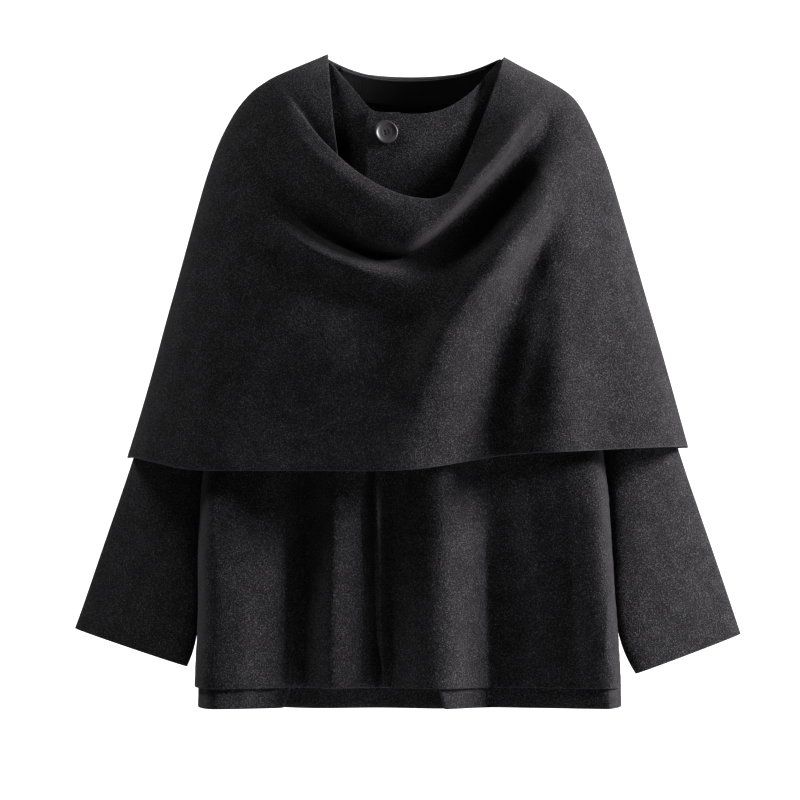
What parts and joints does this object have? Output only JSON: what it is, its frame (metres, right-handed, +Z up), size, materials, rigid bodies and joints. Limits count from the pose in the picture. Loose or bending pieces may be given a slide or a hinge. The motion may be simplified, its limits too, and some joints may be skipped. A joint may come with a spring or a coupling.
{
  "type": "wool cape jacket",
  "caption": "Collarless charcoal wool jacket with flared fronts, wide sleeves and a shoulder cape that drapes in a cowl at the front.",
  "frame": {"origin": "between the wearer's shoulders, where they carry the jacket, 31 mm below its neck points", "axes": "+Z up, the front faces -Y, +X is the wearer's left"},
  "size_m": [0.7414, 0.362, 0.7262],
  "materials": {
    "charcoal_wool": "matt felted wool",
    "dark_facing": "matt woven lining cloth",
    "black_button": "satin"
  },
  "bodies": {
    "root": {"front_left": "charcoal_wool", "front_right": "charcoal_wool", "back": "charcoal_wool", "back_neck_facing": "dark_facing", "sleeve_left": "charcoal_wool", "sleeve_right": "charcoal_wool", "cape_front": "charcoal_wool", "cape_back": "charcoal_wool", "button": "black_button"}
  },
  "joints": []
}
